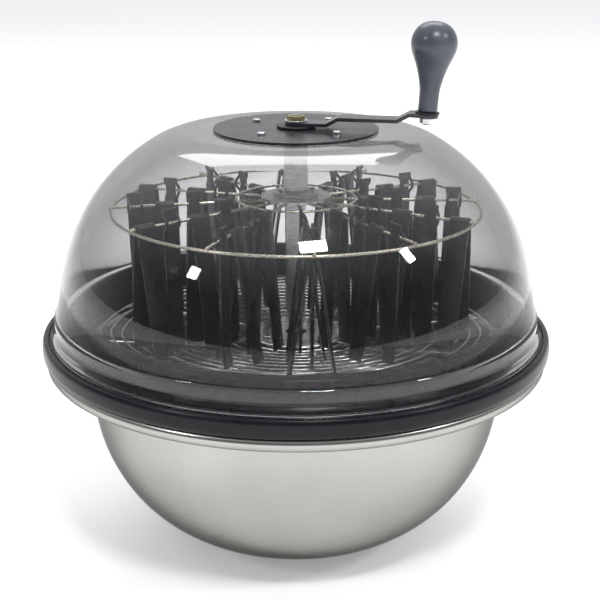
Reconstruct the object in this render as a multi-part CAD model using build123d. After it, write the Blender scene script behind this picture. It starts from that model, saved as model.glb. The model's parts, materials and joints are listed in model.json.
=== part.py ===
from build123d import *
from math import acos, atan2, cos, degrees, hypot, pi, radians, sin, tan
import os

# Millimetres. +Z is up and the origin is the centre of the bowl's flat base, on the table.
# Heights below are measured from the table; "rim" is the middle of the black rim ring.

# Bowl: pressed stainless sheet with a flat brim and a rolled edge.
rim = 178.5
bowl_sheet = 1.2
bowl_base_radius = 43
bowl_lower_radius = 129.2
bowl_lower_turn = 57.4
bowl_upper_radius = 146
brim_top = rim - 8.5
brim_bend_radius = 3.8
bead_radius = 6
bead_centre = 206

# Rim ring: black rubber, with a raised inner lip and a channel for the dome.
ring_outer_radius = 215
channel_floor = rim + 5.2
rest_gap = 0.3

# Dome: blown clear plastic, carrying the crank bearing.
dome_wall = 2.5
dome_foot_radius = 203.3
dome_foot_height = rim + 18
dome_lean = 9.1
dome_side_length = 36.1
dome_side_radius = 159.9
dome_side_turn = 51
dome_crown_radius = 63.8
plate_radius = 68
plate_thick = 2
dome_shoulder = radians(dome_lean + dome_side_turn)
dome_top = (
    dome_foot_height
    + dome_side_length * cos(radians(dome_lean))
    + dome_side_radius * (sin(dome_shoulder) - sin(radians(dome_lean)))
    + dome_crown_radius * (1 - sin(dome_shoulder))
)
dome_flat_radius = (
    dome_foot_radius
    - dome_side_length * sin(radians(dome_lean))
    - dome_side_radius * (cos(radians(dome_lean)) - cos(dome_shoulder))
    - dome_crown_radius * cos(dome_shoulder)
)
plate_top = dome_top + plate_thick
plate_screw_circle = 43
plate_screw_angles = (50, 140, 230, 320)

# Shaft, tubes and fits.
shaft_radius = 6
running_gap = 0.05
bush_radius = 11
bush_flange_radius = 15
bush_flange = 2
thread_radius = 4
hex_flats = 10
hex_play = 0.15
hex_top = rim + 10
hex_end = rim - 13.5

# Crank arm and knob.
crank_azimuth = -10.4
arm_thick = 3
arm_width = 18
arm_bottom = plate_top + 2.1
arm_first_joggle = 25
arm_straight = 46
joggle_angle = 29
joggle_length = 8.5
pad_half = 12.5
knob_lean = 4
knob_height = 73.6
knob_bulb_radius = 18.8
knob_stem_radius = 8
spindle_radius = 3

# Whisk wheel: radial rods on two hoops, with hanging rubber strips.
rod_radius = 1.3
rod_start = 12
rod_end = 156
rod_axis_height = rim + 117.5
rod_slope = 0.0314
rod_count = 12
rod_first_angle = 5
hoop_radius = 153.5
inner_hoop_radius = 50
hoop_wire = 1.3
inner_hoop_wire = 1.0
weld_bite = 0.1
hub_plate_radius = 29
hub_plate_thick = 2.5
hub_screw_circle = 14.5
hub_screw_first = 20
strip_first_radius = 60
strip_shift = 10
strip_pitch = 24.5
strips_per_rod = 4
strip_tip = rim + 4.5
strip_thick = 2
strip_fold_play = 0.1
folded_width = 16
leaf_width = 13
leaf_stand = 11
staple_width = 2

# Grate: wire rings on radial bars, with a steel centre plate.
bar_radius = 1.6
bar_height = rim - 3.4
bar_count = 8
bar_first_angle = 15
grate_wire = 1.1
grate_pitch = 10
grate_ring_count = 14
grate_first_ring = 40
hub_disc_radius = 38
hub_disc_top = rim + 0.4
hub_disc_thick = 2.2

# Gearbox: planetary, ring gear fixed, carrier driven by the crank, sun driving the blade.
tooth_module = 1.25
pressure_angle = radians(25)
addendum = 0.8
dedendum = 1.05
flank_play = 0.06
sun_teeth = 12
planet_teeth = 12
ring_teeth = 36
planet_count = 3
gear_top = rim - 15.2
gear_bottom = rim - 25
gear_centres = tooth_module * (sun_teeth + planet_teeth) / 2
housing_radius = 34
housing_bore = 27
cover_top = rim - 5.2
cover_bottom = rim - 9.2
housing_bottom = rim - 33
housing_floor = rim - 29
carrier_top = rim - 10.2
carrier_bottom = rim - 14.2
carrier_hub_radius = 9
carrier_radius = 19.5
pin_radius = 2.5
gearbox_screw_circle = 30.5
gearbox_screw_count = 4
gearbox_screw_first = 37.5
output_radius = 5
output_bush_radius = 8
blade_thick = 1.5
blade_width = 18
blade_tip_radius = 166
blade_angle = 50
blade_hub_top = rim - 36
blade_hub_thick = 5


def on_axis(shape, height):
    return Pos(0, 0, height) * shape


def disc(radius, bottom, top, bore=0):
    """A round plate or tube about the Z axis."""
    body = on_axis(Cylinder(radius, top - bottom), (top + bottom) / 2)
    if bore:
        body -= on_axis(Cylinder(bore, 2 * (top - bottom)), (top + bottom) / 2)
    return body


def hexagon(flats, bottom, top):
    outline = RegularPolygon(flats / 2, 6, major_radius=False)
    return on_axis(extrude(outline, top - bottom), bottom)


def turned(face):
    """Turns a section drawn as (radius, height) about the Z axis."""
    return revolve(Plane.XZ * face, Axis.Z)


def around(shape, count, first=0.0):
    return [Rot(0, 0, first + 360 * k / count) * shape for k in range(count)]


def group(shapes):
    return Compound([solid for shape in shapes for solid in shape.solids()])


def sheet_sides(start, heading, moves, thickness):
    """The two faces of a sheet bent along a path, as edges: the right face follows the moves, the
    left face is a thickness away. A move is a length, or a bend (radius, turn, left positive)."""
    sides = []
    for offset in (0, thickness):
        angle = heading
        normal = Vector(-sin(radians(angle)), cos(radians(angle)))
        point = Vector(*start) + normal * offset
        edges = []
        for move in moves:
            along = Vector(cos(radians(angle)), sin(radians(angle)))
            if isinstance(move, tuple):
                radius, turn = move
                bend = radius - offset if turn > 0 else radius + offset
                edge = JernArc(point, along, bend, turn)
                angle += turn
            else:
                edge = Line(point, point + along * move)
            point = edge @ 1
            edges.append(edge)
        sides.append(edges)
    return sides


def bent_sheet(start, heading, moves, thickness):
    near, far = sheet_sides(start, heading, moves, thickness)
    caps = [Line(near[0] @ 0, far[0] @ 0), Line(near[-1] @ 1, far[-1] @ 1)]
    return make_face(near + far + caps)


# ---- bowl and rim ring ----

def bowl():
    turn = radians(bowl_lower_turn)
    lower_height = bowl_lower_radius * (1 - cos(turn))
    upper_height = bowl_upper_radius * cos(turn)
    straight = brim_top - bowl_sheet - brim_bend_radius - lower_height - upper_height
    side_radius = bowl_base_radius + bowl_lower_radius * sin(turn) + bowl_upper_radius * (1 - sin(turn))
    moves = [
        bowl_base_radius,
        (bowl_lower_radius, bowl_lower_turn),
        (bowl_upper_radius, 90 - bowl_lower_turn),
        straight,
        (brim_bend_radius, -90),
        bead_centre - side_radius - brim_bend_radius,
        (bead_radius - bowl_sheet, -270),
    ]
    return turned(bent_sheet((0, 0), 0, moves, bowl_sheet))


def rim_ring():
    foot_radius = 187.5
    outer = 213.4
    outline = [
        Line((foot_radius, brim_top), (outer, brim_top)),
        ThreePointArc((outer, brim_top), (ring_outer_radius, rim - 1), (outer, rim + 6)),
        Line((outer, rim + 6), (212.6, rim + 6.7)),
        Line((212.6, rim + 6.7), (209.8, rim + 6.7)),
        Line((209.8, rim + 6.7), (209, channel_floor)),
        Line((209, channel_floor), (197, channel_floor)),
        Line((197, channel_floor), (193, rim + 8)),
        Line((193, rim + 8), (190.7, rim + 25.2)),
        ThreePointArc((190.7, rim + 25.2), (190.1, rim + 26.2), (189, rim + 26.8)),
        Line((189, rim + 26.8), (184, rim + 29)),
        ThreePointArc((184, rim + 29), (182.6, rim + 28.9), (182, rim + 27.6)),
        Line((182, rim + 27.6), (181.6, rim - 4)),
        Line((181.6, rim - 4), (foot_radius, rim - 4)),
        Line((foot_radius, rim - 4), (foot_radius, brim_top)),
    ]
    return turned(make_face(outline))


# ---- grate ----

def grate_bars():
    path = FilletPolyline(
        (26, bar_height),
        (174, bar_height),
        (180, brim_top + bar_radius),
        (185.5, brim_top + bar_radius),
        radius=3,
    )
    path = Plane.XZ * path
    bar = sweep(Plane(path @ 0, z_dir=path % 0) * Circle(bar_radius), path)
    return group(around(bar, bar_count, bar_first_angle))


def grate_rings():
    height = bar_height + bar_radius + grate_wire - 0.05
    radii = [grate_first_ring + grate_pitch * k for k in range(grate_ring_count)]
    return group([on_axis(Torus(radius, grate_wire), height) for radius in radii])


def screw_places(shape, count, circle, first):
    return around(Pos(circle, 0, 0) * shape, count, first)


def gearbox_screw_holes(radius):
    hole = disc(radius, housing_bottom, rim + 10)
    return screw_places(hole, gearbox_screw_count, gearbox_screw_circle, gearbox_screw_first)


def grate_hub():
    plate = disc(hub_disc_radius, hub_disc_top - hub_disc_thick, hub_disc_top, carrier_hub_radius)
    for hole in gearbox_screw_holes(2.2):
        plate -= hole
    return plate


# ---- gearbox ----

def tooth_outline(teeth, tip, root, play):
    """Points of a spur gear's outline: involute flanks, straight below the base circle."""
    pitch_radius = tooth_module * teeth / 2
    base_radius = pitch_radius * cos(pressure_angle)
    tip_radius = pitch_radius + tip * tooth_module
    root_radius = pitch_radius - root * tooth_module
    flank_steps = 6
    half_tooth = pi / (2 * teeth) - play / pitch_radius
    involute_at_pitch = tan(pressure_angle) - pressure_angle
    flank = []
    first = max(base_radius, root_radius)
    for k in range(flank_steps + 1):
        radius = first + (tip_radius - first) * k / flank_steps
        roll = acos(min(1.0, base_radius / radius))
        flank.append((radius, half_tooth + involute_at_pitch - (tan(roll) - roll)))
    if root_radius < base_radius:
        flank.insert(0, (root_radius, flank[0][1]))
    points = []
    for k in range(teeth):
        middle = 2 * pi * k / teeth
        for radius, angle in flank:
            points.append((radius * cos(middle - angle), radius * sin(middle - angle)))
        for radius, angle in reversed(flank):
            points.append((radius * cos(middle + angle), radius * sin(middle + angle)))
    return points


def toothed(teeth, tip, root, play, turn, bottom, top):
    outline = Rot(0, 0, turn) * make_face(Polyline(*tooth_outline(teeth, tip, root, play), close=True))
    return on_axis(extrude(outline, top - bottom), bottom)


def planet_gear(k):
    half_tooth_turn = 180 / planet_teeth
    gear = toothed(planet_teeth, addendum, dedendum, flank_play, half_tooth_turn, gear_bottom, gear_top)
    gear -= disc(pin_radius + running_gap, gear_bottom - 1, gear_top + 1)
    return Rot(0, 0, 360 * k / planet_count) * Pos(gear_centres, 0, 0) * gear


def ring_gear():
    top = gear_top + 0.5
    bottom = gear_bottom - 1
    blank = disc(housing_bore, bottom, top)
    teeth = toothed(ring_teeth, dedendum, addendum, -flank_play, 180 / ring_teeth, bottom - 1, top + 1)
    return blank - teeth


def sun_shaft():
    gear = toothed(sun_teeth, addendum, dedendum, flank_play, 0, gear_bottom, gear_top)
    shaft = disc(output_radius, blade_hub_top, gear_bottom)
    stud = disc(thread_radius, blade_hub_top - 14, blade_hub_top)
    return gear + shaft + stud


def planet_carrier():
    body = disc(carrier_radius, carrier_bottom, carrier_top)
    body += disc(carrier_hub_radius, carrier_top, rim - 4.2)
    body -= hexagon(hex_flats + 2 * hex_play, carrier_bottom - 1, rim)
    hole = disc(pin_radius, carrier_bottom - 1, carrier_top + 1)
    for cut in screw_places(hole, planet_count, gear_centres, 0):
        body -= cut
    return body


def planet_pins():
    pin = disc(pin_radius, gear_bottom - 1.5, carrier_top)
    return group(screw_places(pin, planet_count, gear_centres, 0))


def gearbox_cover():
    body = disc(housing_radius, cover_bottom, cover_top)
    boss = disc(3.9, cover_top, hub_disc_top - hub_disc_thick)
    for foot in screw_places(boss, gearbox_screw_count, gearbox_screw_circle, gearbox_screw_first):
        body += foot
    body -= disc(carrier_hub_radius + running_gap, cover_bottom - 1, cover_top + 1)
    for hole in gearbox_screw_holes(2):
        body -= hole
    return body


def gearbox_housing():
    body = disc(housing_radius, housing_bottom, cover_bottom)
    body -= disc(housing_bore, housing_floor, cover_bottom + 1)
    body -= disc(output_bush_radius, housing_bottom - 1, housing_floor + 1)
    hole = disc(2, cover_bottom - 10, cover_bottom + 1)
    for cut in screw_places(hole, gearbox_screw_count, gearbox_screw_circle, gearbox_screw_first):
        body -= cut
    return body


def output_bush():
    body = disc(output_bush_radius, housing_bottom, housing_floor)
    body += disc(output_bush_radius + 3, housing_bottom - 1.5, housing_bottom)
    return body - disc(output_radius + running_gap, housing_bottom - 3, housing_floor + 1)


def gearbox_screws():
    head = disc(3.6, hub_disc_top, hub_disc_top + 2.2)
    screw = head + disc(2, cover_bottom - 9.5, hub_disc_top)
    return group(screw_places(screw, gearbox_screw_count, gearbox_screw_circle, gearbox_screw_first))


# ---- blade ----

def blade_hub():
    return disc(13, blade_hub_top - blade_hub_thick, blade_hub_top, thread_radius)


def blade_bar():
    bend = 5
    rise_angle = 80
    foot = blade_hub_top - blade_hub_thick - blade_thick
    top = rim - 9.2
    bend_rise = 2 * bend * (1 - cos(radians(rise_angle))) + blade_thick * (1 - cos(radians(rise_angle)))
    rise = (top - foot - bend_rise) / sin(radians(rise_angle))
    moves = [38, (bend + blade_thick, rise_angle), rise, (bend, -rise_angle), 130]
    section = Plane.XZ * bent_sheet((0, foot), 0, moves, blade_thick)
    arm = extrude(section, blade_width / 2, both=True)
    arm &= disc(blade_tip_radius, foot - 1, rim)
    bar = arm + Rot(0, 0, 180) * arm
    bar -= disc(thread_radius, foot - 1, blade_hub_top)
    return Rot(0, 0, blade_angle) * bar


def blade_washer():
    top = blade_hub_top - blade_hub_thick - blade_thick
    return disc(8, top - 1.2, top, thread_radius)


def blade_nut():
    top = blade_hub_top - blade_hub_thick - blade_thick - 1.2
    return hexagon(13, top - 4.5, top) - disc(thread_radius, top - 6, top + 1)


# ---- dome ----

def dome():
    crown_turn = 90 - dome_lean - dome_side_turn
    moves = [
        dome_side_length,
        (dome_side_radius, dome_side_turn),
        (dome_crown_radius, crown_turn),
        dome_flat_radius - bush_radius,
    ]
    wall = turned(bent_sheet((dome_foot_radius, dome_foot_height), 90 + dome_lean, moves, dome_wall))
    foot_bottom = channel_floor + rest_gap
    foot = [
        (200.2, rim + 21),
        (201.2, foot_bottom),
        (207.4, foot_bottom),
        (207.4, rim + 9),
        (204.9, rim + 13.5),
        (204.2, dome_foot_height),
        (203.1, rim + 24.5),
        (200.8, rim + 24.5),
    ]
    body = wall + turned(make_face(Polyline(*foot, close=True)))
    body -= disc(bush_radius, dome_top - 10, dome_top + 10)
    return drilled(body)


def plate_screw_holes():
    hole = disc(2, dome_top - 10, plate_top + 10)
    return [Rot(0, 0, angle) * Pos(plate_screw_circle, 0, 0) * hole for angle in plate_screw_angles]


def drilled(body):
    for hole in plate_screw_holes():
        body -= hole
    return body


def top_plate():
    return drilled(disc(plate_radius, dome_top, plate_top, bush_radius))


def plate_screws():
    head = disc(3.5, plate_top, plate_top + 1.6) + disc(2.6, plate_top + 1.6, plate_top + 2.4)
    screw = head + disc(2, dome_top - dome_wall - 5, plate_top)
    return group([Rot(0, 0, angle) * Pos(plate_screw_circle, 0, 0) * screw for angle in plate_screw_angles])


def plate_nuts():
    top = dome_top - dome_wall
    nut = hexagon(7, top - 3.2, top) - disc(2, top - 5, top + 1)
    return group([Rot(0, 0, angle) * Pos(plate_screw_circle, 0, 0) * nut for angle in plate_screw_angles])


def dome_bush():
    ceiling = dome_top - dome_wall
    body = disc(bush_radius, ceiling, plate_top)
    body += disc(bush_flange_radius, ceiling - bush_flange, ceiling)
    return body - disc(shaft_radius + running_gap, ceiling - 5, plate_top + 1)


# ---- crank ----

def arm_path():
    """Start, heading and moves of the arm's side section: two upward joggles and a leaning end pad."""
    tight = 3
    wide = tight + arm_thick
    moves = [
        arm_width / 2 + arm_first_joggle,
        (wide, joggle_angle),
        joggle_length,
        (tight, -joggle_angle),
        arm_straight,
        (wide, joggle_angle),
        joggle_length,
        (tight, -joggle_angle - knob_lean),
        2 * pad_half,
    ]
    return (-arm_width / 2, arm_bottom), 0, moves


def knob_frame():
    """Frame of the knob's axis before the crank's azimuth: origin on top of the arm's end pad."""
    pad = sheet_sides(*arm_path(), arm_thick)[1][-1]
    seat = pad @ 0.5
    return Pos(seat.X, 0, seat.Y) * Rot(0, knob_lean, 0)


def crank_arm():
    section = Plane.XZ * bent_sheet(*arm_path(), arm_thick)
    bar = extrude(section, arm_width / 2, both=True)
    reach = knob_frame().position.X
    slot = SlotCenterPoint((reach / 2, 0), (reach, 0), arm_width)
    bar &= Pos(0, 0, plate_top) * extrude(slot, 60)
    bar -= disc(shaft_radius, arm_bottom - 1, arm_bottom + arm_thick + 1)
    bar -= knob_frame() * Cylinder(spindle_radius, 20)
    return Rot(0, 0, crank_azimuth) * bar


def crank_boss():
    return disc(16, plate_top + rest_gap, arm_bottom, shaft_radius)


def shaft_washer():
    top = arm_bottom + arm_thick
    return disc(9.5, top, top + 1.2, thread_radius)


def shaft_nut():
    bottom = arm_bottom + arm_thick + 1.2
    return hexagon(13, bottom, bottom + 3.6) - disc(thread_radius, bottom - 1, bottom + 6)


def drive_shaft():
    arm_top = arm_bottom + arm_thick
    body = disc(shaft_radius, hex_top, arm_top)
    body += disc(thread_radius, arm_top, arm_top + 5.4)
    return body + hexagon(hex_flats, hex_end, hex_top)


def hub_plate_bottom():
    return rod_height(rod_start) + rod_radius - weld_bite


def hub_tube():
    bottom = hub_plate_bottom() + hub_plate_thick
    top = dome_top - dome_wall - bush_flange - rest_gap
    body = disc(10, bottom, top, shaft_radius)
    flange = disc(19, bottom, bottom + 3, 9)
    for cut in screw_places(disc(1.5, bottom - 1, bottom + 5), 4, hub_screw_circle, hub_screw_first):
        flange -= cut
    return body + flange


def lower_tube():
    return disc(8, hex_top, hub_plate_bottom(), shaft_radius)


def hub_plate():
    bottom = hub_plate_bottom()
    body = disc(hub_plate_radius, bottom, bottom + hub_plate_thick, shaft_radius)
    for cut in screw_places(disc(1.5, bottom - 1, bottom + 5), 4, hub_screw_circle, hub_screw_first):
        body -= cut
    return body


def hub_screws():
    flange_top = hub_plate_bottom() + hub_plate_thick + 3
    screw = disc(2.8, flange_top, flange_top + 2.2) + disc(1.5, hub_plate_bottom(), flange_top)
    return group(screw_places(screw, 4, hub_screw_circle, hub_screw_first))


def rod_height(radius):
    return rod_axis_height - rod_slope * radius


def rod_angles():
    return [rod_first_angle + 360 * k / rod_count for k in range(rod_count)]


def rod_frame(radius):
    """Frame on a rod before its azimuth: x across the rod, y up, z outwards along the rod."""
    return Plane(origin=(radius, 0, rod_height(radius)), x_dir=(0, 1, 0), z_dir=(1, 0, -rod_slope))


def whisk_rods():
    length = hypot(rod_end - rod_start, rod_height(rod_start) - rod_height(rod_end))
    rod = rod_frame(rod_start) * extrude(Circle(rod_radius), length)
    return group([Rot(0, 0, angle) * rod for angle in rod_angles()])


def outer_hoop():
    height = rod_height(hoop_radius) - rod_radius - hoop_wire + weld_bite / 2
    return on_axis(Torus(hoop_radius, hoop_wire), height)


def inner_hoop():
    height = rod_height(inner_hoop_radius) + rod_radius + inner_hoop_wire - weld_bite / 2
    return on_axis(Torus(inner_hoop_radius, inner_hoop_wire), height)


# ---- rubber strips ----

def folded_strip(radius):
    """A strip folded over a rod, its two legs hanging apart."""
    drop = rod_height(radius) - strip_tip
    spread = min(3 + radius * 0.13, 18)
    inner = rod_radius + strip_fold_play
    middle = inner + strip_thick / 2
    outer = inner + strip_thick
    lean = acos(middle / hypot(spread, drop)) - atan2(drop, spread)
    edges = []
    for side in (-1, 1):
        out = Vector(side * cos(lean), sin(lean))
        tip = Vector(side * spread, -drop)
        tip_out = tip + out * (strip_thick / 2)
        tip_in = tip - out * (strip_thick / 2)
        edges += [Line(tip_out, out * outer), Line(tip_in, out * inner), Line(tip_out, tip_in)]
    left = Vector(-cos(lean), sin(lean))
    right = Vector(cos(lean), sin(lean))
    edges.append(ThreePointArc(left * outer, (0, outer), right * outer))
    edges.append(ThreePointArc(left * inner, (0, inner), right * inner))
    return rod_frame(radius) * extrude(make_face(edges), folded_width / 2, both=True)


def leaf_strip(radius, side):
    """A single strip standing a little above its rod, which passes through two slits in it."""
    drop = rod_height(radius) - strip_tip
    clear = rod_radius + strip_fold_play
    leaf = Pos(side * (clear + strip_thick / 2), (leaf_stand - drop) / 2) * Rectangle(strip_thick, drop + leaf_stand)
    body = extrude(leaf, leaf_width / 2, both=True)
    staple = Pos(-side * 0.7, 0) * Rectangle(2 * clear + 1.4 + 0.4, 2 * clear + 3.2) - Circle(clear)
    for end in (-1, 1):
        middle = end * (leaf_width - staple_width) / 2
        body += Pos(0, 0, middle) * extrude(staple, staple_width / 2, both=True)
    return rod_frame(radius) * body


def arm_strips(k):
    """The strips on one rod: folded and threaded ones in turn."""
    inner = strip_first_radius if k % 2 == 0 else strip_first_radius + strip_shift
    strips = []
    for place in range(strips_per_rod):
        radius = inner + strip_pitch * place
        if (place + k) % 2 == 0:
            strips.append(folded_strip(radius))
        else:
            strips.append(leaf_strip(radius, 1 if (place // 2 + k // 2) % 2 else -1))
    return group([Rot(0, 0, rod_angles()[k]) * strip for strip in strips])


# ---- knob ----

def knob():
    bore_depth = 63
    centre = knob_height - knob_bulb_radius
    edges = [
        Line((spindle_radius + running_gap, 1.8), (knob_stem_radius, 1.8)),
        Spline(
            (knob_stem_radius, 1.8),
            (9.6, 25.5),
            (12.6, 38),
            (knob_bulb_radius, centre),
            tangents=[(0.05, 1), (0, 1)],
        ),
        RadiusArc((knob_bulb_radius, centre), (0, knob_height), -knob_bulb_radius),
        Line((0, knob_height), (0, bore_depth)),
        Line((0, bore_depth), (spindle_radius + running_gap, bore_depth)),
        Line((spindle_radius + running_gap, bore_depth), (spindle_radius + running_gap, 1.8)),
    ]
    body = turned(make_face(edges))
    return Rot(0, 0, crank_azimuth) * knob_frame() * body


def knob_washer():
    body = disc(9.8, 0, 1.5, spindle_radius)
    return Rot(0, 0, crank_azimuth) * knob_frame() * body


def knob_spindle():
    body = disc(spindle_radius, -arm_thick - 6, 62)
    return Rot(0, 0, crank_azimuth) * knob_frame() * body


def spindle_nut():
    top = -arm_thick
    body = disc(6.5, top - 1, top) + hexagon(10, top - 5, top - 1)
    body -= disc(spindle_radius, top - 8, top + 1)
    return Rot(0, 0, crank_azimuth) * knob_frame() * body


nodes = {
    "bowl": bowl(),
    "rim_ring": rim_ring(),
    "grate_bars": grate_bars(),
    "grate_rings": grate_rings(),
    "grate_hub": grate_hub(),
    "gearbox_cover": gearbox_cover(),
    "gearbox_housing": gearbox_housing(),
    "ring_gear": ring_gear(),
    "output_bush": output_bush(),
    "gearbox_screws": gearbox_screws(),
    "planet_carrier": planet_carrier(),
    "planet_pins": planet_pins(),
    "sun_shaft": sun_shaft(),
    "blade_hub": blade_hub(),
    "blade_bar": blade_bar(),
    "blade_washer": blade_washer(),
    "blade_nut": blade_nut(),
    "dome": dome(),
    "top_plate": top_plate(),
    "plate_screws": plate_screws(),
    "plate_nuts": plate_nuts(),
    "dome_bush": dome_bush(),
    "crank_arm": crank_arm(),
    "crank_boss": crank_boss(),
    "shaft_washer": shaft_washer(),
    "shaft_nut": shaft_nut(),
    "drive_shaft": drive_shaft(),
    "hub_tube": hub_tube(),
    "lower_tube": lower_tube(),
    "hub_plate": hub_plate(),
    "hub_screws": hub_screws(),
    "whisk_rods": whisk_rods(),
    "outer_hoop": outer_hoop(),
    "inner_hoop": inner_hoop(),
    "knob_washer": knob_washer(),
    "knob_spindle": knob_spindle(),
    "spindle_nut": spindle_nut(),
    "knob": knob(),
}
for k in range(planet_count):
    nodes[f"planet_gear_{k + 1}"] = planet_gear(k)
for k in range(rod_count):
    nodes[f"strips_{k + 1:02d}"] = arm_strips(k)

os.makedirs("parts", exist_ok=True)
for name, shape in nodes.items():
    export_step(shape, f"parts/{name}.step")
seat = (Rot(0, 0, crank_azimuth) * knob_frame()).position
print(len(nodes), "nodes; knob axis starts at", [round(v, 3) for v in seat])
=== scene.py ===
import json
import math
import random

import bmesh
import bpy
from mathutils import Matrix, Vector


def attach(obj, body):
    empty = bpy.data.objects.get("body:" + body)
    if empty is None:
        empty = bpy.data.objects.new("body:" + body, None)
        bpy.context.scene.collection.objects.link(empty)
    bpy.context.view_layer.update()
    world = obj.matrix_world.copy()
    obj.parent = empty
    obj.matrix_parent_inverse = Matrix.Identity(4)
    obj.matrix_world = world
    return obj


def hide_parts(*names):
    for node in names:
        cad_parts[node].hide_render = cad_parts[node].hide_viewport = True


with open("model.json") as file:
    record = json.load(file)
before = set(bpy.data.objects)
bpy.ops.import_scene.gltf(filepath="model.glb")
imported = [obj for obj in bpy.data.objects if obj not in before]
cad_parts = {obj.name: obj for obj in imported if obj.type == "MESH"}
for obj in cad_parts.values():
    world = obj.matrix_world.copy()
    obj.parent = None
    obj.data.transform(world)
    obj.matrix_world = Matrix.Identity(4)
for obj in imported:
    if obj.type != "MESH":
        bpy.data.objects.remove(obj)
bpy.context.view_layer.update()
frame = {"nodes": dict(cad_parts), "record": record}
scene = bpy.context.scene
mm = 0.001
rim = 178.5  # height of the middle of the rim ring; heights below are from the table
domeTop = rim + 175.45
hubTop = rim + 120.82  # top of the wheel's hub plate
upright = (0, 0, 1)
bodyOf = {node: body for body, nodes in frame["record"]["behaviour"]["bodies"].items() for node in nodes}
slotOf = {row["node"]: row["material_slot"] for row in frame["record"]["subparts"]}
print("frame loaded:", len(bodyOf), "nodes")


def hexColour(code, alpha=1.0):
    channels = []
    for start in (0, 2, 4):
        value = int(code[start:start + 2], 16) / 255
        channels.append(value / 12.92 if value <= 0.04045 else ((value + 0.055) / 1.055) ** 2.4)
    return (*channels, alpha)


def addNode(tree, kind, settings=None, links=None):
    # settings with a leading dot are the node's own properties, the rest are its sockets
    node = tree.nodes.new(kind)
    for key, value in (settings or {}).items():
        if isinstance(key, str) and key.startswith("."):
            setattr(node, key[1:], value)
        else:
            node.inputs[key].default_value = value
    for key, source in (links or {}).items():
        tree.links.new(source, node.inputs[key])
    return node


def newMaterial(name):
    material = bpy.data.materials.new(name)
    material.use_nodes = True
    tree = material.node_tree
    tree.nodes.clear()
    return material, tree


def closeMaterial(tree, shader):
    addNode(tree, "ShaderNodeOutputMaterial", {}, {"Surface": shader.outputs[0]})


def spread(tree, source, low, high, start=0.3, end=0.7):
    # turns a pattern's middle range into the range low to high
    return addNode(
        tree,
        "ShaderNodeMapRange",
        {"From Min": start, "From Max": end, "To Min": low, "To Max": high},
        {"Value": source},
    ).outputs[0]


def twoTone(tree, source, first, second, start=0.35, end=0.65):
    ramp = addNode(tree, "ShaderNodeValToRGB", {}, {"Fac": source})
    ramp.color_ramp.elements[0].position = start
    ramp.color_ramp.elements[0].color = hexColour(first)
    ramp.color_ramp.elements[1].position = end
    ramp.color_ramp.elements[1].color = hexColour(second)
    return ramp.outputs["Color"]


def turnedPlace(tree):
    # (radius, height, 0) of a point, so that a pattern runs round the axis as lathe marks do
    place = addNode(tree, "ShaderNodeTexCoord").outputs["Object"]
    split = addNode(tree, "ShaderNodeSeparateXYZ", {}, {0: place})
    flat = addNode(tree, "ShaderNodeCombineXYZ", {}, {0: split.outputs[0], 1: split.outputs[1]})
    radius = addNode(tree, "ShaderNodeVectorMath", {".operation": "LENGTH"}, {0: flat.outputs[0]})
    return addNode(
        tree, "ShaderNodeCombineXYZ", {}, {0: radius.outputs["Value"], 1: split.outputs[2]}
    ).outputs[0]


def noise(tree, place, size, detail=2.0, roughness=0.5):
    # size is the real size of one feature, in millimetres
    return addNode(
        tree,
        "ShaderNodeTexNoise",
        {"Scale": 1 / (size * mm), "Detail": detail, "Roughness": roughness},
        {"Vector": place},
    ).outputs["Fac"]


def spunStainless():
    # stainless sheet spun over a form, then scotch-brited: fine rings, a soft satin glow, faint handling haze
    material, tree = newMaterial("spunStainlessSatin")
    place = addNode(tree, "ShaderNodeTexCoord").outputs["Object"]
    rings = noise(tree, turnedPlace(tree), 0.9, 4.0, 0.65)  # real marks are near 0.2 mm
    haze = noise(tree, place, 90, 2.0)
    smear = noise(tree, place, 60, 1.0)
    rough = addNode(
        tree,
        "ShaderNodeMath",
        {".operation": "ADD"},
        {0: spread(tree, haze, 0.2, 0.28), 1: spread(tree, rings, -0.03, 0.04)},
    ).outputs[0]
    bump = addNode(tree, "ShaderNodeBump", {"Strength": 0.25, "Distance": 0.00004}, {"Height": rings})
    shader = addNode(
        tree,
        "ShaderNodeBsdfPrincipled",
        {"Metallic": 1.0, "Anisotropic": 0.35, "Specular Tint": hexColour("8f9092")},
        {
            "Base Color": twoTone(tree, smear, "b1b0ac", "b7b6b2"),
            "Roughness": rough,
            "Normal": bump.outputs[0],
        },
    )
    closeMaterial(tree, shader)
    return material


def turnedMetal(name, dark, light, low, high, pitch=0.8):
    # steel or bronze turned on a lathe: rings round the axis of the part
    material, tree = newMaterial(name)
    rings = noise(tree, turnedPlace(tree), pitch, 3.0, 0.6)
    place = addNode(tree, "ShaderNodeTexCoord").outputs["Object"]
    stain = noise(tree, place, 6, 3.0)
    bump = addNode(tree, "ShaderNodeBump", {"Strength": 0.3, "Distance": 0.00005}, {"Height": rings})
    shader = addNode(
        tree,
        "ShaderNodeBsdfPrincipled",
        {"Metallic": 1.0},
        {
            "Base Color": twoTone(tree, stain, dark, light),
            "Roughness": spread(tree, rings, low, high),
            "Normal": bump.outputs[0],
        },
    )
    closeMaterial(tree, shader)
    return material


def drawnMetal(name, dark, light, low, high, size=1.2):
    # plated or drawn steel: nearly smooth, with small dull patches and faint die marks
    material, tree = newMaterial(name)
    place = addNode(tree, "ShaderNodeTexCoord").outputs["Object"]
    grain = noise(tree, place, size, 3.0, 0.55)
    dull = noise(tree, place, size * 9, 2.0)
    bump = addNode(tree, "ShaderNodeBump", {"Strength": 0.2, "Distance": 0.00004}, {"Height": grain})
    shader = addNode(
        tree,
        "ShaderNodeBsdfPrincipled",
        {"Metallic": 1.0},
        {
            "Base Color": twoTone(tree, dull, dark, light),
            "Roughness": spread(tree, grain, low, high),
            "Normal": bump.outputs[0],
        },
    )
    closeMaterial(tree, shader)
    return material


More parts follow.
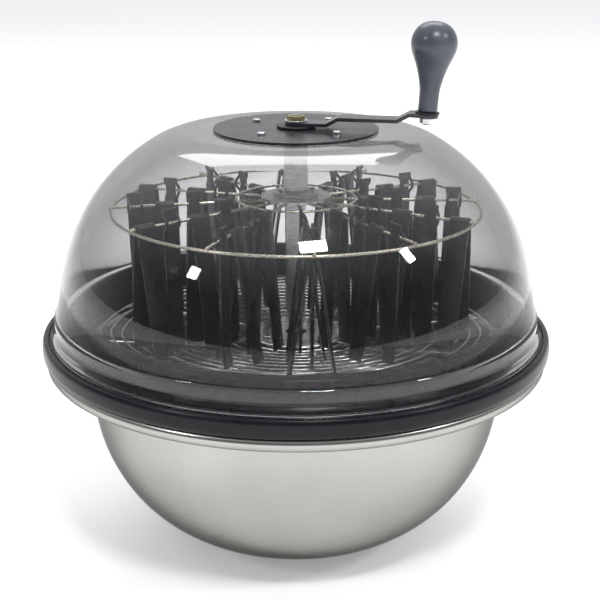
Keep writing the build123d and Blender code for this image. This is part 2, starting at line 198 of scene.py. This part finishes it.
def castAlloy():
    # sand-blasted die casting: grey, even, with a fine pebble
    material, tree = newMaterial("castAluminiumBlasted")
    place = addNode(tree, "ShaderNodeTexCoord").outputs["Object"]
    pebble = noise(tree, place, 0.7, 2.0)
    cloud = noise(tree, place, 14, 2.0)
    bump = addNode(tree, "ShaderNodeBump", {"Strength": 0.5, "Distance": 0.0001}, {"Height": pebble})
    shader = addNode(
        tree,
        "ShaderNodeBsdfPrincipled",
        {"Metallic": 1.0},
        {
            "Base Color": twoTone(tree, cloud, "8f9397", "a6aaae"),
            "Roughness": spread(tree, pebble, 0.42, 0.6),
            "Normal": bump.outputs[0],
        },
    )
    closeMaterial(tree, shader)
    return material


def mouldedPart(name, dark, light, low, high, grain, depth, coat=0.0, shine=0.5):
    # injection or compression moulding: a fine grain from the tool, slow drift in tone and gloss
    material, tree = newMaterial(name)
    place = addNode(tree, "ShaderNodeTexCoord").outputs["Object"]
    skin = noise(tree, place, grain, 3.0, 0.6)
    drift = noise(tree, place, grain * 30, 2.0)
    bump = addNode(tree, "ShaderNodeBump", {"Strength": 0.35, "Distance": depth}, {"Height": skin})
    shader = addNode(
        tree,
        "ShaderNodeBsdfPrincipled",
        {"IOR": 1.5, "Specular IOR Level": shine, "Coat Weight": coat, "Coat Roughness": 0.12},
        {
            "Base Color": twoTone(tree, drift, dark, light),
            "Roughness": spread(tree, drift, low, high),
            "Normal": bump.outputs[0],
        },
    )
    closeMaterial(tree, shader)
    return material


def clearDome():
    # blown clear acrylic: smooth, slightly smoky, with slow waves from the blowing
    material, tree = newMaterial("blownAcrylicClear")
    place = addNode(tree, "ShaderNodeTexCoord").outputs["Object"]
    wave = noise(tree, place, 60, 1.0)
    wipe = noise(tree, place, 22, 4.0, 0.6)
    bump = addNode(tree, "ShaderNodeBump", {"Strength": 0.15, "Distance": 0.0008}, {"Height": wave})
    # a slanting look passes through more of the smoky wall than a straight one
    slant = addNode(tree, "ShaderNodeLayerWeight", {"Blend": 0.5}).outputs["Facing"]
    shader = addNode(
        tree,
        "ShaderNodeBsdfPrincipled",
        {"IOR": 1.49, "Transmission Weight": 1.0},
        {
            "Base Color": twoTone(tree, slant, "e2e2e3", "a9a9a8", 0.1, 0.6),
            "Roughness": spread(tree, wipe, 0.0, 0.03),
            "Normal": bump.outputs[0],
        },
    )
    # lamps reach what is under the dome, as they do through real thin acrylic
    passing = addNode(tree, "ShaderNodeBsdfTransparent", {"Color": hexColour("f0f0f0")})
    path = addNode(tree, "ShaderNodeLightPath")
    shader = addNode(
        tree, "ShaderNodeMixShader", {},
        {0: path.outputs["Is Shadow Ray"], 1: shader.outputs[0], 2: passing.outputs[0]},
    )
    closeMaterial(tree, shader)
    return material


finishes = {
    "bowl_steel": spunStainless(),
    "rim_rubber": mouldedPart(
        "nitrileRubberMoulded", "101116", "15161b", 0.25, 0.3, 0.8, 0.00005, shine=0.25,
    ),
    "grate_steel": drawnMetal("stainlessWirePolished", "d3d2ce", "e6e5e1", 0.16, 0.28),
    "plate_steel": turnedMetal("stainlessTubeBrushed", "c2c2c1", "d0d0cf", 0.22, 0.32),
    "gearbox_alloy": castAlloy(),
    "gear_steel": turnedMetal("carbonSteelTurned", "8e8f91", "a9aaac", 0.25, 0.42),
    "bearing_bronze": turnedMetal("sinteredBronze", "8f6a35", "b08a4c", 0.35, 0.5),
    "screw_steel": drawnMetal("steelZincPlated", "c4c6c9", "dfe1e4", 0.15, 0.3, 0.8),
    "blade_steel": drawnMetal("springSteelGround", "a8a9ab", "c4c5c7", 0.22, 0.38, 2.0),
    "dome_clear": clearDome(),
    "black_plate": mouldedPart("absBlackGloss", "1d1e22", "26272c", 0.2, 0.32, 0.6, 0.00004),
    "black_nylon": mouldedPart("nylonBlackTurned", "151619", "1f2024", 0.4, 0.55, 0.5, 0.00005),
    "black_arm": mouldedPart("steelEnamelledBlack", "222328", "2e2f35", 0.25, 0.4, 1.2, 0.00008, 0.3),
    "brass_nut": drawnMetal("steelNutYellowPassivated", "8d8360", "b3a77c", 0.25, 0.4, 0.8),
    "wheel_wire": drawnMetal("steelWireNickelled", "d6cfbf", "ebe4d5", 0.2, 0.34),
    "strip_rubber": mouldedPart("neopreneSheetCut", "141518", "1f2024", 0.22, 0.36, 0.7, 0.00008),
    "knob_plastic": mouldedPart("phenolicSlateMoulded", "444851", "50555f", 0.24, 0.34, 0.6, 0.00004),
}
print("materials made:", len(finishes))


def drawPath(mesh, start, heading, moves, offset=0.0):
    # a line of edges in the XZ plane. A move is a length, or a bend (radius, turn in degrees, left positive)
    angle = math.radians(heading)
    left = Vector((-math.sin(angle), 0, math.cos(angle)))
    first = mesh.verts.new(Vector((start[0], 0, start[1])) * mm + left * offset * mm)
    point = first
    for move in moves:
        along = Vector((math.cos(angle), 0, math.sin(angle)))
        left = Vector((-math.sin(angle), 0, math.cos(angle)))
        if isinstance(move, tuple):
            radius, turn = move
            side = 1 if turn > 0 else -1
            centre = point.co + left * side * (radius - side * offset) * mm
            steps = max(3, round(abs(turn) / 4 + radius / 30))
            made = bmesh.ops.spin(
                mesh, geom=[point], cent=centre, axis=(0, -1, 0), dvec=(0, 0, 0),
                angle=math.radians(turn), steps=steps,
            )
            point = made["geom_last"][0]
            angle += math.radians(turn)
        else:
            made = bmesh.ops.extrude_vert_indiv(mesh, verts=[point])
            point = made["verts"][0]
            bmesh.ops.translate(mesh, verts=[point], vec=along * move * mm)
    return first, point


def drawOutline(mesh, corners):
    # a closed outline from (radius, height, rounding) corners
    verts = [mesh.verts.new(Vector((r, 0, z)) * mm) for r, z, cut in corners]
    for near, far in zip(verts, verts[1:] + verts[:1]):
        mesh.edges.new((near, far))
    for vert, (r, z, cut) in zip(verts, corners):
        if cut:
            bmesh.ops.bevel(
                mesh, geom=[vert], offset=cut * mm, offset_type="OFFSET", segments=4, profile=0.5,
                affect="VERTICES", material=-1,
            )


def turnAll(mesh, steps):
    bmesh.ops.spin(
        mesh, geom=mesh.verts[:] + mesh.edges[:], cent=(0, 0, 0), axis=upright, dvec=(0, 0, 0),
        angle=math.tau, steps=steps, use_merge=True,
    )


def finishPiece(name, mesh, node, replaced, sharp=35):
    bmesh.ops.remove_doubles(mesh, verts=mesh.verts, dist=1e-6)
    bmesh.ops.recalc_face_normals(mesh, faces=mesh.faces)
    data = bpy.data.meshes.new(name)
    mesh.to_mesh(data)
    mesh.free()
    data.materials.append(finishes[slotOf[node]])
    data.shade_smooth()
    data.set_sharp_from_angle(angle=math.radians(sharp))
    piece = bpy.data.objects.new(name, data)
    scene.collection.objects.link(piece)
    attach(piece, bodyOf[node])
    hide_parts(*replaced)
    return piece


def placed(mesh, matrix):
    bmesh.ops.transform(mesh, matrix=matrix, verts=mesh.verts)


def joinInto(target, mesh):
    # adds a finished bmesh to another one
    data = bpy.data.meshes.new("spare")
    mesh.to_mesh(data)
    mesh.free()
    target.from_mesh(data)
    bpy.data.meshes.remove(data)


bowlSize = {
    "sheet": 1.2,
    "base": 43,
    "lower": (129.2, 57.4),
    "upper": 146,
    "brimTop": rim - 8.5,
    "brimBend": 3.8,
    "bead": 6,
    "beadCentre": 206,
    "steps": 192,
}


def makeBowl(size):
    sheet = size["sheet"]
    lowerTurn = math.radians(size["lower"][1])
    straight = (
        size["brimTop"] - sheet - size["brimBend"]
        - size["lower"][0] * (1 - math.cos(lowerTurn)) - size["upper"] * math.cos(lowerTurn)
    )
    sideRadius = (
        size["base"] + size["lower"][0] * math.sin(lowerTurn) + size["upper"] * (1 - math.sin(lowerTurn))
    )
    moves = [
        size["base"] - 1,
        size["lower"],
        (size["upper"], 90 - size["lower"][1]),
        straight,
        (size["brimBend"], -90),
        size["beadCentre"] - sideRadius - size["brimBend"],
        (size["bead"] - sheet, -270),
    ]
    mesh = bmesh.new()
    below = drawPath(mesh, (1, 0), 0, moves)
    above = drawPath(mesh, (1, 0), 0, moves, sheet)
    mesh.edges.new((below[1], above[1]))
    turnAll(mesh, size["steps"])
    bmesh.ops.remove_doubles(mesh, verts=mesh.verts, dist=1e-6)
    for height in (0, sheet):  # close the two middles
        ring = [e for e in mesh.edges if e.is_boundary and abs(e.verts[0].co.z - height * mm) < 1e-5]
        bmesh.ops.contextual_create(mesh, geom=ring)
    finishPiece("bowlShell", mesh, "bowl", ["bowl"])


makeBowl(bowlSize)
print("bowl made")


ringCorners = [
    (187.5, rim - 8.5, 0.4),
    (213.2, rim - 8.5, 1.2),
    (215, rim - 5.5, 2.2),
    (215, rim + 4.4, 2.2),
    (213.2, rim + 6.7, 0.6),
    (209.8, rim + 6.7, 0.5),
    (209, rim + 5.2, 0.3),
    (197, rim + 5.2, 1.5),
    (192.9, rim + 9, 2.5),
    (190.4, rim + 26.4, 1.2),
    (183.4, rim + 29.1, 1.4),
    (181.6, rim + 27, 0.8),
    (181.6, rim - 4, 0.3),
    (187.5, rim - 4, 0),
]


def makeRing(corners, steps=192):
    mesh = bmesh.new()
    drawOutline(mesh, corners)
    turnAll(mesh, steps)
    finishPiece("rimRing", mesh, "rim_ring", ["rim_ring"], 50)


makeRing(ringCorners)
print("rim ring made")


domeSize = {
    "wall": 2.5,
    "footRadius": 203.3,
    "footHeight": rim + 18,
    "lean": 9.1,
    "side": 36.1,
    "shoulder": (159.9, 51),
    "crown": 63.8,
    "hole": 11,
    "steps": 192,
}


def makeDome(size):
    lean = math.radians(size["lean"])
    skipped = 8.0  # the foot hides this much of the wall's start
    start = (
        size["footRadius"] - skipped * math.sin(lean),
        size["footHeight"] + skipped * math.cos(lean),
    )
    shoulder = math.radians(size["lean"] + size["shoulder"][1])
    flat = (
        size["footRadius"] - size["side"] * math.sin(lean)
        - size["shoulder"][0] * (math.cos(lean) - math.cos(shoulder)) - size["crown"] * math.cos(shoulder)
    )
    moves = [
        size["side"] - skipped,
        size["shoulder"],
        (size["crown"], 90 - size["lean"] - size["shoulder"][1]),
        flat - size["hole"],
    ]
    mesh = bmesh.new()
    outside = drawPath(mesh, start, 90 + size["lean"], moves)
    inside = drawPath(mesh, start, 90 + size["lean"], moves, size["wall"])
    mesh.edges.new((outside[1], inside[1]))
    foot = [
        (203.1, rim + 24.6),
        (204.2, rim + 23.6),
        (204.3, rim + 18),
        (204.9, rim + 13.5),
        (207.2, rim + 9.4),
        (207.4, rim + 8.6),
        (207.4, rim + 6),
        (206.9, rim + 5.5),
        (201.6, rim + 5.5),
        (201.2, rim + 5.9),
        (200.4, rim + 18),
    ]
    last = outside[0]
    for r, z in foot:
        corner = mesh.verts.new(Vector((r, 0, z)) * mm)
        mesh.edges.new((last, corner))
        last = corner
    mesh.edges.new((last, inside[0]))
    turnAll(mesh, size["steps"])
    finishPiece("domeShell", mesh, "dome", ["dome"], 40)


makeDome(domeSize)
print("dome made")


knobJoint = next(j for j in frame["record"]["behaviour"]["joints"] if j["name"] == "knob_spin")
knobPlace = (
    Matrix.Translation(Vector(knobJoint["pos_m"]))
    @ Vector(upright).rotation_difference(Vector(knobJoint["axis"])).to_matrix().to_4x4()
)
knobSize = {"boreTop": 40, "steps": 48, "sharp": 60}
knobOutline = [
    (3.05, 1.8), (7.4, 1.8), (8.0, 2.4), (7.9, 8), (7.9, 16), (8.3, 21), (9.5, 26.5), (11.2, 33.2),
    (13.6, 40.2), (16.4, 46.5), (18.2, 51.5), (18.7, 56), (18.0, 61.6), (15.2, 67.2), (10.6, 71.3),
    (5.4, 73.1), (0.4, 73.5),
]


def makeKnob():
    mesh = bmesh.new()
    verts = [mesh.verts.new(Vector((r, 0, z)) * mm) for r, z in knobOutline]
    for near, far in zip(verts, verts[1:]):
        mesh.edges.new((near, far))
    boreEnd = mesh.verts.new(Vector((knobOutline[0][0], 0, knobSize["boreTop"])) * mm)
    mesh.edges.new((verts[0], boreEnd))
    turnAll(mesh, knobSize["steps"])
    rims = [e for e in mesh.edges if e.is_boundary]
    bmesh.ops.holes_fill(mesh, edges=rims)
    placed(mesh, knobPlace)
    piece = finishPiece("knobGrip", mesh, "knob", ["knob"], knobSize["sharp"])
    soft = piece.modifiers.new("soften", "SUBSURF")
    soft.levels = soft.render_levels = 1


makeKnob()
print("knob made")


# machined and pressed parts: the CAD shape with its edges broken

def softenedNode(name, node, cut, steps=2, sharp=30):
    mesh = bmesh.new()
    mesh.from_mesh(frame["nodes"][node].data)
    bmesh.ops.remove_doubles(mesh, verts=mesh.verts, dist=2e-6)
    bmesh.ops.dissolve_limit(mesh, angle_limit=math.radians(0.5), verts=mesh.verts, edges=mesh.edges)
    edges = [e for e in mesh.edges if len(e.link_faces) == 2 and e.calc_face_angle() > math.radians(sharp)]
    bmesh.ops.bevel(
        mesh, geom=edges, offset=cut * mm, offset_type="OFFSET", segments=steps, profile=0.5,
        affect="EDGES", material=-1, clamp_overlap=True,
    )
    piece = finishPiece(name, mesh, node, [node])
    even = piece.modifiers.new("evenNormals", "WEIGHTED_NORMAL")  # keeps the flat faces flat beside a bevel
    even.keep_sharp = True
    return piece


softened = {
    "top_plate": ("topPlate", 0.5),
    "crank_arm": ("crankArm", 0.5),
    "crank_boss": ("crankBoss", 0.3),
    "shaft_washer": ("shaftWasher", 0.2),
    "shaft_nut": ("shaftNut", 0.25),
    "hub_plate": ("hubPlate", 0.3),
    "knob_washer": ("knobWasher", 0.2),
    "grate_hub": ("grateHub", 0.25),
    "gearbox_cover": ("gearboxCover", 0.4),
    "gearbox_housing": ("gearboxHousing", 0.6),
    "blade_hub": ("bladeHub", 0.4),
    "blade_nut": ("bladeNut", 0.25),
    "spindle_nut": ("spindleNut", 0.25),
}
for node, (name, cut) in softened.items():
    softenedNode(name, node, cut)
print("softened parts made:", len(softened))


screwSets = {
    # circle, angles, head (radius, bottom, top), shank (radius, bottom), recess (length, width, depth)
    "plate_screws": {
        "name": "plateScrews",
        "circle": 43,
        "angles": (50, 140, 230, 320),
        "head": (3.5, domeTop + 2, domeTop + 4.4),
        "shank": (2, domeTop - 7.5),
        "recess": (1.7, 0.4, 1.1),
    },
    "hub_screws": {
        "name": "hubScrews",
        "circle": 14.5,
        "angles": (20, 110, 200, 290),
        "head": (2.8, hubTop + 3, hubTop + 5.2),
        "shank": (1.5, hubTop - 2.5),
        "recess": (1.4, 0.35, 1.0),
    },
    "gearbox_screws": {
        "name": "gearboxScrews",
        "circle": 30.5,
        "angles": (37.5, 127.5, 217.5, 307.5),
        "head": (3.6, rim + 0.4, rim + 2.6),
        "shank": (2, rim - 18.7),
        "recess": (1.8, 0.4, 1.1),
    },
}


def crossScrew(size):
    # a pan head with a cross recess, on a plain shank
    mesh = bmesh.new()
    radius, bottom, top = size["head"]
    shankRadius, shankBottom = size["shank"]
    for r, low, high in ((radius, bottom, top), (shankRadius, shankBottom, bottom)):
        bmesh.ops.create_cone(
            mesh, cap_ends=True, segments=32, radius1=r * mm, radius2=r * mm, depth=(high - low) * mm,
            matrix=Matrix.Translation((0, 0, (low + high) / 2 * mm)),
        )
    crown = [e for e in mesh.edges if all(v.co.z > (top - 0.01) * mm for v in e.verts)]
    bmesh.ops.bevel(
        mesh, geom=crown, offset=(top - bottom) * 0.55 * mm, offset_type="OFFSET", segments=5, profile=0.5,
        affect="EDGES", material=-1,
    )
    length, width, depth = size["recess"]
    for axis in (Vector((1, 0, 0)), Vector((0, 1, 0))):
        for place in (-length, -width, width, length):
            bmesh.ops.bisect_plane(
                mesh, geom=mesh.verts[:] + mesh.edges[:] + mesh.faces[:],
                plane_co=axis * place * mm, plane_no=axis,
            )
    floorFaces = []
    for face in mesh.faces:
        centre = face.calc_center_median() / mm
        far = max(abs(centre.x), abs(centre.y))
        near = min(abs(centre.x), abs(centre.y))
        if centre.z > top - 0.01 and far < length and near < width:
            floorFaces.append(face)
    made = bmesh.ops.extrude_face_region(mesh, geom=floorFaces)
    sunk = [v for v in made["geom"] if isinstance(v, bmesh.types.BMVert)]
    bmesh.ops.translate(mesh, verts=sunk, vec=Vector((0, 0, -depth * mm)))
    bmesh.ops.delete(mesh, geom=floorFaces, context="FACES")
    return mesh


def makeScrews():
    for node, size in screwSets.items():
        screws = bmesh.new()
        for k, angle in enumerate(size["angles"]):
            screw = crossScrew(size)
            twist = Matrix.Rotation(0.5 + 1.1 * k, 4, "Z")  # each screw stopped at its own angle
            turn = Matrix.Rotation(math.radians(angle), 4, "Z")
            placed(screw, turn @ Matrix.Translation((size["circle"] * mm, 0, 0)) @ twist)
            joinInto(screws, screw)
        finishPiece(size["name"], screws, node, [node])


makeScrews()
print("screws made")


wheelSize = {
    "rods": 12,
    "firstAngle": 5,
    "rod": 1.3,
    "start": 12,
    "end": 156,
    "height": rim + 117.5,
    "slope": 0.0314,
    "hoop": (153.5, 1.3),
    "innerHoop": (50, 1.0),
}


def rodAngle(k):
    return wheelSize["firstAngle"] + 360 / wheelSize["rods"] * k


def rodHeight(radius):
    return wheelSize["height"] - wheelSize["slope"] * radius


def rodPlace(radius, turn):
    # frame on a rod: x outwards along it, z up
    slope = math.atan(wheelSize["slope"])
    return (
        Matrix.Rotation(math.radians(turn), 4, "Z")
        @ Matrix.Translation(Vector((radius, 0, rodHeight(radius))) * mm)
        @ Matrix.Rotation(slope, 4, "Y")
    )


def wireRing(radius, wire, height, steps, sides):
    mesh = bmesh.new()
    bmesh.ops.create_circle(
        mesh, segments=sides, radius=wire * mm,
        matrix=Matrix.Translation(Vector((radius, 0, height)) * mm) @ Matrix.Rotation(math.pi / 2, 4, "X"),
    )
    turnAll(mesh, steps)
    return mesh


def weldSpots(mesh, radius, height, angles, size=1.5):
    # small fused lumps where two wires were resistance-welded
    for angle in angles:
        turn = Matrix.Rotation(math.radians(angle), 4, "Z")
        place = turn @ Matrix.Translation(Vector((radius, 0, height)) * mm)
        flatter = Matrix.Diagonal((1.25, 1.0, 0.55, 1.0))
        bmesh.ops.create_icosphere(mesh, subdivisions=2, radius=size * mm, matrix=place @ flatter)


def makeWheel(size):
    rods = bmesh.new()
    length = (size["end"] - size["start"]) * mm
    for k in range(size["rods"]):
        rod = bmesh.new()
        bmesh.ops.create_cone(
            rod, cap_ends=True, segments=20, radius1=size["rod"] * mm, radius2=size["rod"] * mm, depth=length,
            matrix=Matrix.Translation((length / 2, 0, 0)) @ Matrix.Rotation(math.pi / 2, 4, "Y"),
        )
        ends = [e for e in rod.edges if abs(e.calc_face_angle() - math.pi / 2) < 0.1]
        bmesh.ops.bevel(
            rod, geom=ends, offset=0.3 * mm, offset_type="OFFSET", segments=2, profile=0.5,
            affect="EDGES", material=-1,
        )
        placed(rod, rodPlace(size["start"], rodAngle(k)))
        joinInto(rods, rod)
    finishPiece("whiskRods", rods, "whisk_rods", ["whisk_rods"])
    radius, wire = size["hoop"]
    hoop = wireRing(radius, wire, rodHeight(radius) - size["rod"] - wire + 0.05, 160, 14)
    rodAngles = [rodAngle(k) for k in range(size["rods"])]
    weldSpots(hoop, radius, rodHeight(radius) - size["rod"], rodAngles)
    finishPiece("outerHoop", hoop, "outer_hoop", ["outer_hoop"])
    radius, wire = size["innerHoop"]
    hoop = wireRing(radius, wire, rodHeight(radius) + size["rod"] + wire - 0.05, 96, 12)
    weldSpots(hoop, radius, rodHeight(radius) + size["rod"], rodAngles, 1.3)
    finishPiece("innerHoop", hoop, "inner_hoop", ["inner_hoop"])


makeWheel(wheelSize)
print("whisk wheel made")


stripSize = {
    "tip": rim + 4.5,
    "thick": 2.0,
    "foldPlay": 0.1,
    "foldWidth": 16,
    "leafWidth": 13,
    "leafStand": 11,
    "slit": 4.5,
    "perRod": 4,
    "first": 60,
    "shift": 10,
    "pitch": 24.5,
}
hang = random.Random(7)


def runEdge(mesh, edge, points):
    # extrudes an edge through (sideways, up) offsets, all in the YZ plane
    last = edge
    for y, z in points:
        made = bmesh.ops.extrude_edge_only(mesh, edges=[last])
        verts = [v for v in made["geom"] if isinstance(v, bmesh.types.BMVert)]
        edges = [e for e in made["geom"] if isinstance(e, bmesh.types.BMEdge)]
        last = [e for e in edges if set(e.verts) == set(verts)][0]
        bmesh.ops.translate(mesh, verts=verts, vec=Vector((0, y, z)) * mm)
    return last


def foldedStrip(radius):
    size = stripSize
    width = size["foldWidth"] / 2
    drop = rodHeight(radius) - size["tip"]
    spread = min(3 + radius * 0.13, 18)
    middle = wheelSize["rod"] + size["foldPlay"] + size["thick"] / 2
    lean = math.acos(middle / math.hypot(spread, drop)) - math.atan2(drop, spread)
    mesh = bmesh.new()
    legs = 8
    bows = (hang.uniform(-1.2, 1.8), hang.uniform(-1.2, 1.8))
    top = Vector((math.cos(lean), math.sin(lean))) * middle
    tip = Vector((spread, -drop))

    def legPoint(side, part, bow):
        at = top.lerp(tip, part)
        return Vector((side * (at[0] + bow * math.sin(math.pi * part)), at[1]))

    line = [legPoint(-1, 1 - k / legs, bows[0]) for k in range(legs + 1)]
    fold = 10
    for k in range(1, fold):
        turn = math.pi - lean - (math.pi - 2 * lean) * k / fold
        line.append(Vector((math.cos(turn), math.sin(turn))) * middle)
    line += [legPoint(1, k / legs, bows[1]) for k in range(legs + 1)]
    start = [mesh.verts.new(Vector((x, line[0][0], line[0][1])) * mm) for x in (-width, width)]
    edge = mesh.edges.new(start)
    runEdge(mesh, edge, [b - a for a, b in zip(line, line[1:])])
    return mesh


def leafStrip(radius, side):
    size = stripSize
    half = size["leafWidth"] / 2
    slit = size["slit"]
    clear = wheelSize["rod"] + size["foldPlay"] + size["thick"] / 2
    drop = rodHeight(radius) - size["tip"]
    bow = hang.uniform(-1.0, 1.0)
    heights = [size["leafStand"], 8.6, 7.0]
    heights += [5.6, 4.2, 2.8, 1.4, 0, -1.4, -2.8, -4.2, -5.6]
    heights += [-7.0] + [-7 - (drop - 7) * k / 7 for k in range(1, 8)]
    mesh = bmesh.new()
    for low, high, front in ((-half, -slit, True), (-slit, slit, False), (slit, half, True)):
        line = []
        for z in heights:
            y = side * clear
            if front and abs(z) < 7:
                y -= side * 2 * clear * math.cos(z / 7 * math.pi / 2) ** 1.2
            if z < -7:
                y += bow * math.sin(math.pi * (z + 7) / (drop - 7)) * side
            line.append(Vector((y, z)))
        start = [mesh.verts.new(Vector((x, line[0][0], line[0][1])) * mm) for x in (low, high)]
        edge = mesh.edges.new(start)
        runEdge(mesh, edge, [b - a for a, b in zip(line, line[1:])])
    bmesh.ops.remove_doubles(mesh, verts=mesh.verts, dist=1e-6)
    return mesh


def makeStrips(size):
    for k in range(wheelSize["rods"]):
        row = bmesh.new()
        first = size["first"] if k % 2 == 0 else size["first"] + size["shift"]
        for place in range(size["perRod"]):
            radius = first + size["pitch"] * place
            if (place + k) % 2 == 0:
                strip = foldedStrip(radius)
            else:
                strip = leafStrip(radius, 1 if (place // 2 + k // 2) % 2 else -1)
            placed(strip, rodPlace(radius, rodAngle(k)))
            joinInto(row, strip)
        node = f"strips_{k + 1:02d}"
        piece = finishPiece(f"stripRow{k + 1:02d}", row, node, [node], 60)
        thick = piece.modifiers.new("thickness", "SOLIDIFY")
        thick.thickness = size["thick"] * mm
        thick.offset = 0
        edge = piece.modifiers.new("cutEdge", "BEVEL")
        edge.width = 0.35 * mm
        edge.segments = 2
        edge.limit_method = "ANGLE"
        edge.angle_limit = math.radians(50)


makeStrips(stripSize)
print("strips made")


grateSize = {
    "rings": 14,
    "firstRing": 40,
    "pitch": 10,
    "wire": 1.1,
    "bars": 8,
    "barAngle": 15,
    "bar": 1.6,
    "barHeight": rim - 3.4,
}


def makeGrate(size):
    rings = bmesh.new()
    height = size["barHeight"] + size["bar"] + size["wire"] - 0.05
    barAngles = [size["barAngle"] + 360 / size["bars"] * k for k in range(size["bars"])]
    for k in range(size["rings"]):
        radius = size["firstRing"] + size["pitch"] * k
        joinInto(rings, wireRing(radius, size["wire"], height, 64 + 6 * k, 10))
        weldSpots(rings, radius, size["barHeight"] + size["bar"], barAngles)
    finishPiece("grateRings", rings, "grate_rings", ["grate_rings"])


makeGrate(grateSize)
print("grate made")


# every node that is still shown takes its own finish

for node, piece in frame["nodes"].items():
    piece.data.materials.clear()
    piece.data.materials.append(finishes[slotOf[node]])
print("finishes given")


def makeStage():
    mesh = bmesh.new()
    bmesh.ops.create_grid(mesh, x_segments=1, y_segments=1, size=14)
    data = bpy.data.meshes.new("paperFloor")
    mesh.to_mesh(data)
    mesh.free()
    material, tree = newMaterial("seamlessPaper")
    place = addNode(tree, "ShaderNodeTexCoord").outputs["Object"]
    fibre = noise(tree, place, 3, 2.0)
    shader = addNode(
        tree,
        "ShaderNodeBsdfPrincipled",
        {
            "Roughness": 0.9,
            "Specular IOR Level": 0.1,
            "Emission Color": hexColour("ffffff"),
            "Emission Strength": 0.2,
        },
        {"Base Color": twoTone(tree, fibre, "f6f6f6", "fbfbfb")},
    )
    closeMaterial(tree, shader)
    data.materials.append(material)
    floor = bpy.data.objects.new("paperFloor", data)
    scene.collection.objects.link(floor)


def areaLight(name, place, target, width, height, power, tint="ffffff"):
    light = bpy.data.lights.new(name, "AREA")
    light.shape = "RECTANGLE"
    light.size = width
    light.size_y = height
    light.energy = power
    light.color = hexColour(tint)[:3]
    lamp = bpy.data.objects.new(name, light)
    lamp.location = place
    lamp.rotation_euler = (Vector(target) - Vector(place)).to_track_quat("-Z", "Y").to_euler()
    scene.collection.objects.link(lamp)


def makeLight():
    scene.view_settings.view_transform = "Standard"
    world = bpy.data.worlds.new("studio")
    scene.world = world
    world.use_nodes = True
    tree = world.node_tree
    tree.nodes.clear()
    # a dim room in front, brighter overhead and behind
    place = addNode(tree, "ShaderNodeTexCoord").outputs["Generated"]
    split = addNode(tree, "ShaderNodeSeparateXYZ", {}, {0: place})
    behind = addNode(
        tree, "ShaderNodeMapRange",
        {
            ".interpolation_type": "SMOOTHSTEP", "From Min": -0.35, "From Max": 0.75,
            "To Min": 0.0, "To Max": 0.55,
        },
        {"Value": split.outputs[1]},
    )
    above = addNode(
        tree, "ShaderNodeMapRange",
        {
            ".interpolation_type": "SMOOTHSTEP", "From Min": 0.35, "From Max": 0.95,
            "To Min": 0.18, "To Max": 0.75,
        },
        {"Value": split.outputs[2]},
    )
    total = addNode(
        tree, "ShaderNodeMath", {".operation": "ADD"}, {0: behind.outputs[0], 1: above.outputs[0]}
    )
    glow = addNode(
        tree, "ShaderNodeBackground", {"Color": hexColour("f7f8fa")}, {"Strength": total.outputs[0]}
    )
    addNode(tree, "ShaderNodeOutputWorld", {}, {"Surface": glow.outputs[0]})
    areaLight("keySoftbox", (0.5, -2.3, 3.6), (0, 0, 0.2), 0.8, 0.45, 74)
    areaLight("sideSoftbox", (2.9, -1.3, 2.6), (0, 0, 0.2), 0.3, 0.5, 26)
    areaLight("fillSoftbox", (-2.4, -1.7, 2.0), (0, 0, 0.2), 0.3, 0.35, 12)
    areaLight("backSoftbox", (-0.1, 1.9, 2.5), (0, 0, 0.3), 2.4, 1.2, 30)


def makeCamera():
    camera = bpy.data.cameras.new("camera")
    camera.lens = 80.4
    camera.sensor_width = 36
    camera.shift_x = 0.0068
    eye = bpy.data.objects.new("camera", camera)
    eye.location = (0, -1.092, 0.5561)
    eye.rotation_euler = (math.pi / 2 - 0.3095, 0, 0)
    scene.collection.objects.link(eye)
    scene.camera = eye


makeStage()
makeLight()
makeCamera()
print("stage made")
